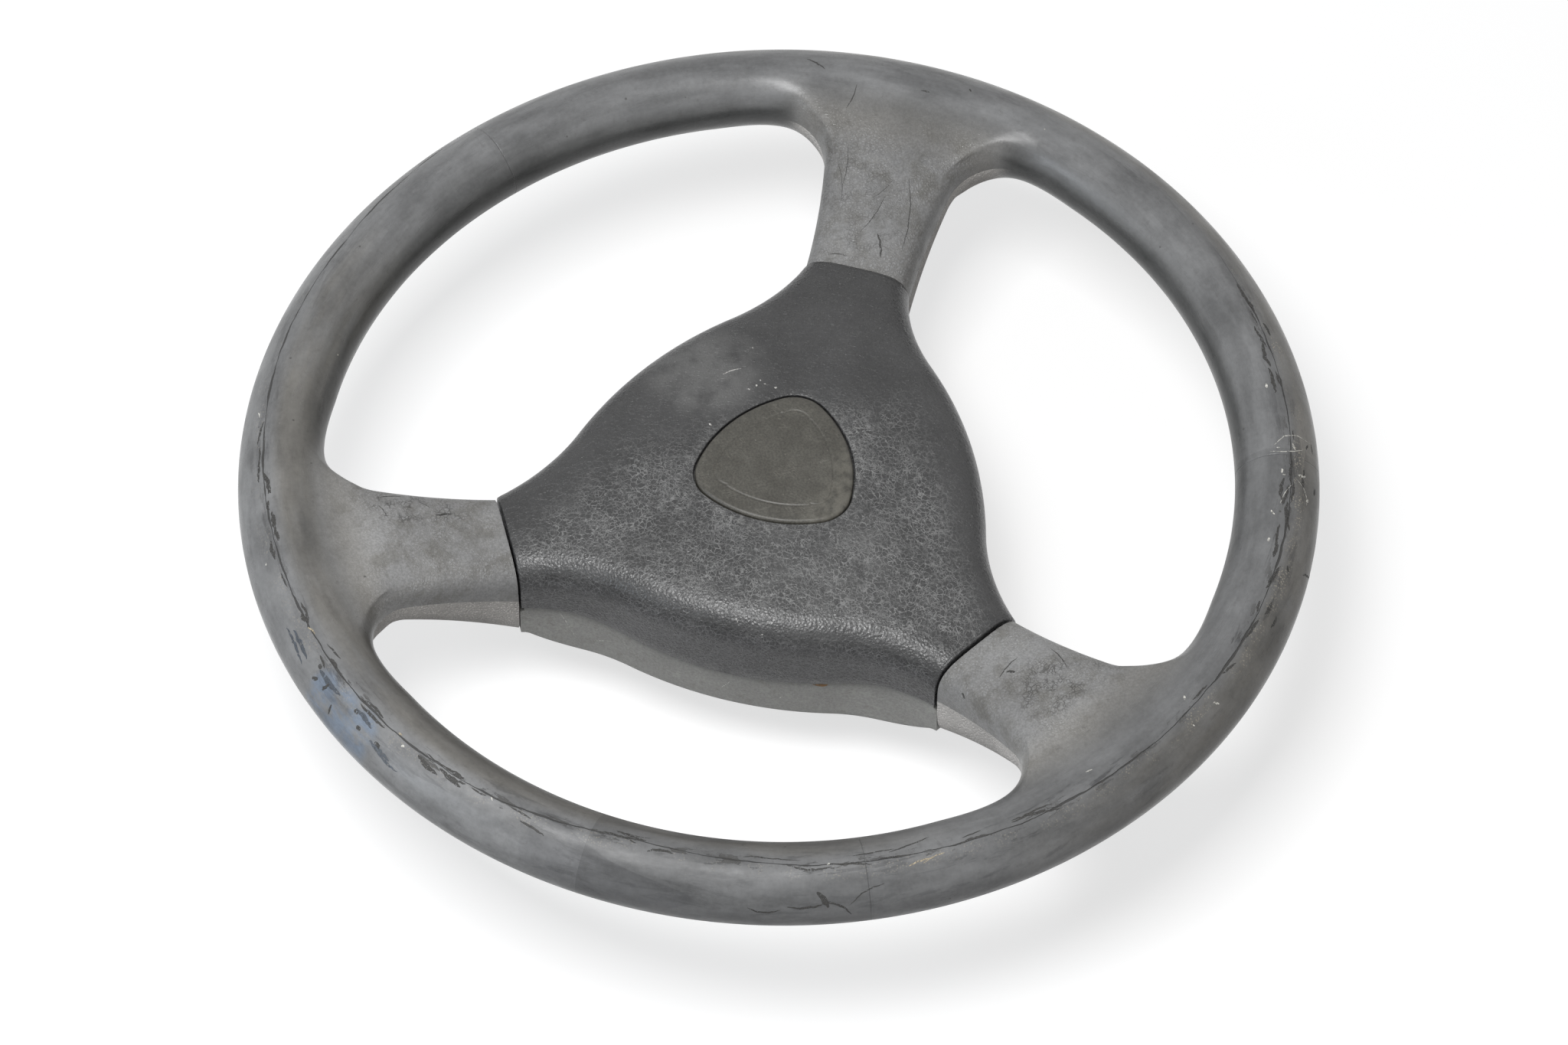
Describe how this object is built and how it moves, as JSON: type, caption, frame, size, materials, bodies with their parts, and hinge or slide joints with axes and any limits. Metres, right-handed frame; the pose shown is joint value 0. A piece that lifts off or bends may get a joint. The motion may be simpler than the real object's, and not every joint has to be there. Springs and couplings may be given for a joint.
{
  "type": "steering wheel",
  "caption": "Car steering wheel with a moulded foam rim, dished spokes, a floating horn pad on springs, a rear shroud and a splined steel hub.",
  "frame": {"origin": "on the steering column's axis, at the rear end of the hub boss, where its bore opens", "axes": "+Z along the column's axis towards the driver; +Y to the top of the wheel, opposite the lower spoke; +X to the right as the driver sees it"},
  "size_m": [0.38, 0.38, 0.0858],
  "materials": {
    "grip_foam": "matte moulded foam skin, worn and finely cracked",
    "pad_skin": "grained soft skin, worn, with fine light cracks",
    "shroud_plastic": "smooth moulded plastic with light scratches",
    "badge_plastic": "satin",
    "frame_steel": "black coated steel",
    "boss_steel": "machined",
    "carrier_steel": "yellow passivated zinc",
    "screw_steel": "zinc plated",
    "spring_steel": "drawn wire",
    "contact_brass": "dull",
    "cam_plastic": "moulded nylon",
    "block_plastic": "moulded nylon"
  },
  "bodies": {
    "wheel": {"rim_grip": "grip_foam", "rim_core": "frame_steel", "spoke_strap_bottom": "frame_steel", "spoke_strap_right": "frame_steel", "spoke_strap_left": "frame_steel", "hub_plate": "frame_steel", "hub_boss": "boss_steel", "rear_shroud": "shroud_plastic", "shroud_screws": "screw_steel", "cancel_cam": "cam_plastic", "slip_ring": "contact_brass", "cam_screws": "screw_steel", "guide_block_1": "block_plastic", "guide_block_2": "block_plastic", "guide_block_3": "block_plastic", "horn_spring_1": "spring_steel", "horn_spring_2": "spring_steel", "horn_spring_3": "spring_steel", "fixed_contact_1": "contact_brass", "fixed_contact_2": "contact_brass", "fixed_contact_3": "contact_brass"},
    "horn_pad": {"pad_cover": "pad_skin", "pad_carrier": "carrier_steel", "pad_screws": "screw_steel", "badge": "badge_plastic", "moving_contact_1": "contact_brass", "moving_contact_2": "contact_brass", "moving_contact_3": "contact_brass", "shoulder_bolt_1": "screw_steel", "shoulder_bolt_2": "screw_steel", "shoulder_bolt_3": "screw_steel"}
  },
  "joints": [
    {"name": "horn_press", "type": "slide", "parent": "wheel", "child": "horn_pad", "axis": [0, 0, -1], "range_m": [0, 0.0025], "stiffness_N_per_m": 15000, "springref_m": -0.001, "deforming": ["horn_spring_1", "horn_spring_2", "horn_spring_3"]}
  ]
}
